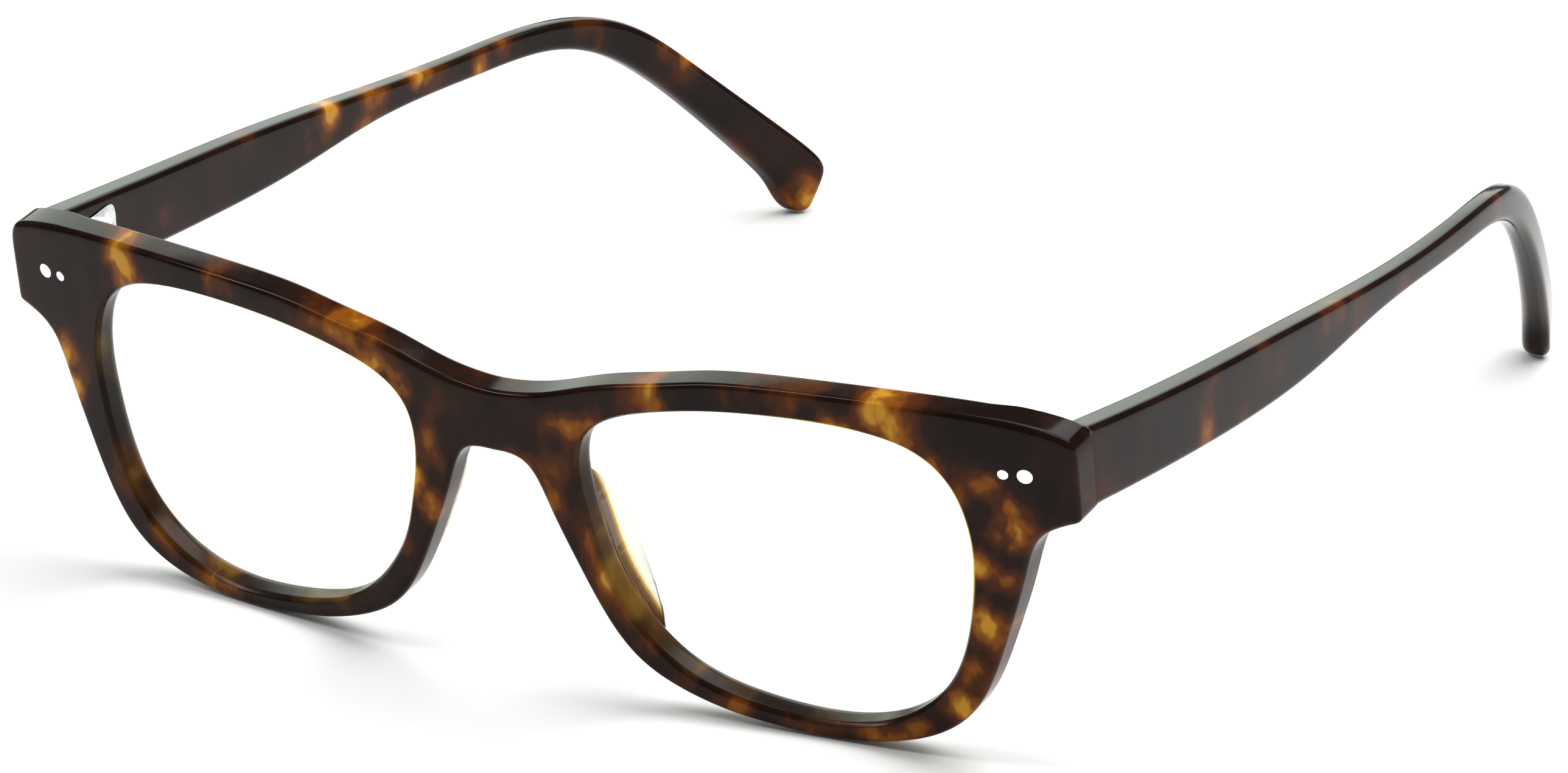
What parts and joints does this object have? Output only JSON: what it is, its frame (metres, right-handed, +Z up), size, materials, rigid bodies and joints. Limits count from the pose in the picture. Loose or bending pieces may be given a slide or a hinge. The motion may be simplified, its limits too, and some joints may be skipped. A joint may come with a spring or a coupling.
{
  "type": "eyeglasses frame",
  "caption": "Full-rim acetate eyeglasses frame with clear lenses, riveted hinges and folding temples that bend down behind the ears.",
  "frame": {"origin": "on the resting surface, midway between the temples and midway between the front and the temple tips", "axes": "-Y the way the wearer looks, +Y along the open temples, +X to the wearer's left, +Z up"},
  "size_m": [0.1396, 0.1624, 0.0435],
  "materials": {
    "tortoise_acetate": "polished dark tortoise with soft amber patches",
    "clear_lens": "clear, with a faint gloss",
    "crystal_acetate": "clear polished acetate",
    "rivet_metal": "polished flush with the acetate",
    "hinge_metal": "polished nickel silver",
    "screw_metal": "plain turned steel",
    "washer_plastic": "natural nylon",
    "wire_metal": "drawn nickel silver wire"
  },
  "bodies": {
    "front": {"frame_front": "tortoise_acetate", "lens_left": "clear_lens", "lens_right": "clear_lens", "nose_pad_left": "crystal_acetate", "nose_pad_right": "crystal_acetate", "large_rivet_left": "rivet_metal", "large_rivet_right": "rivet_metal", "small_rivet_left": "rivet_metal", "small_rivet_right": "rivet_metal", "front_hinge_left": "hinge_metal", "front_hinge_right": "hinge_metal", "hinge_washers_left": "washer_plastic", "hinge_washers_right": "washer_plastic", "hinge_screw_left": "screw_metal", "hinge_screw_right": "screw_metal"},
    "left_temple": {"temple_left": "tortoise_acetate", "temple_hinge_left": "hinge_metal", "temple_rivets_left": "rivet_metal", "core_wire_left": "wire_metal"},
    "right_temple": {"temple_right": "tortoise_acetate", "temple_hinge_right": "hinge_metal", "temple_rivets_right": "rivet_metal", "core_wire_right": "wire_metal"}
  },
  "joints": [
    {"name": "left_fold", "type": "hinge", "parent": "front", "child": "left_temple", "pos_m": [0.061, -0.06716, 0.03694], "axis": [0, 0, 1], "range_deg": [0, 89.2]},
    {"name": "right_fold", "type": "hinge", "parent": "front", "child": "right_temple", "pos_m": [-0.061, -0.06716, 0.03694], "axis": [0, 0, 1], "range_deg": [-78, 0]}
  ]
}
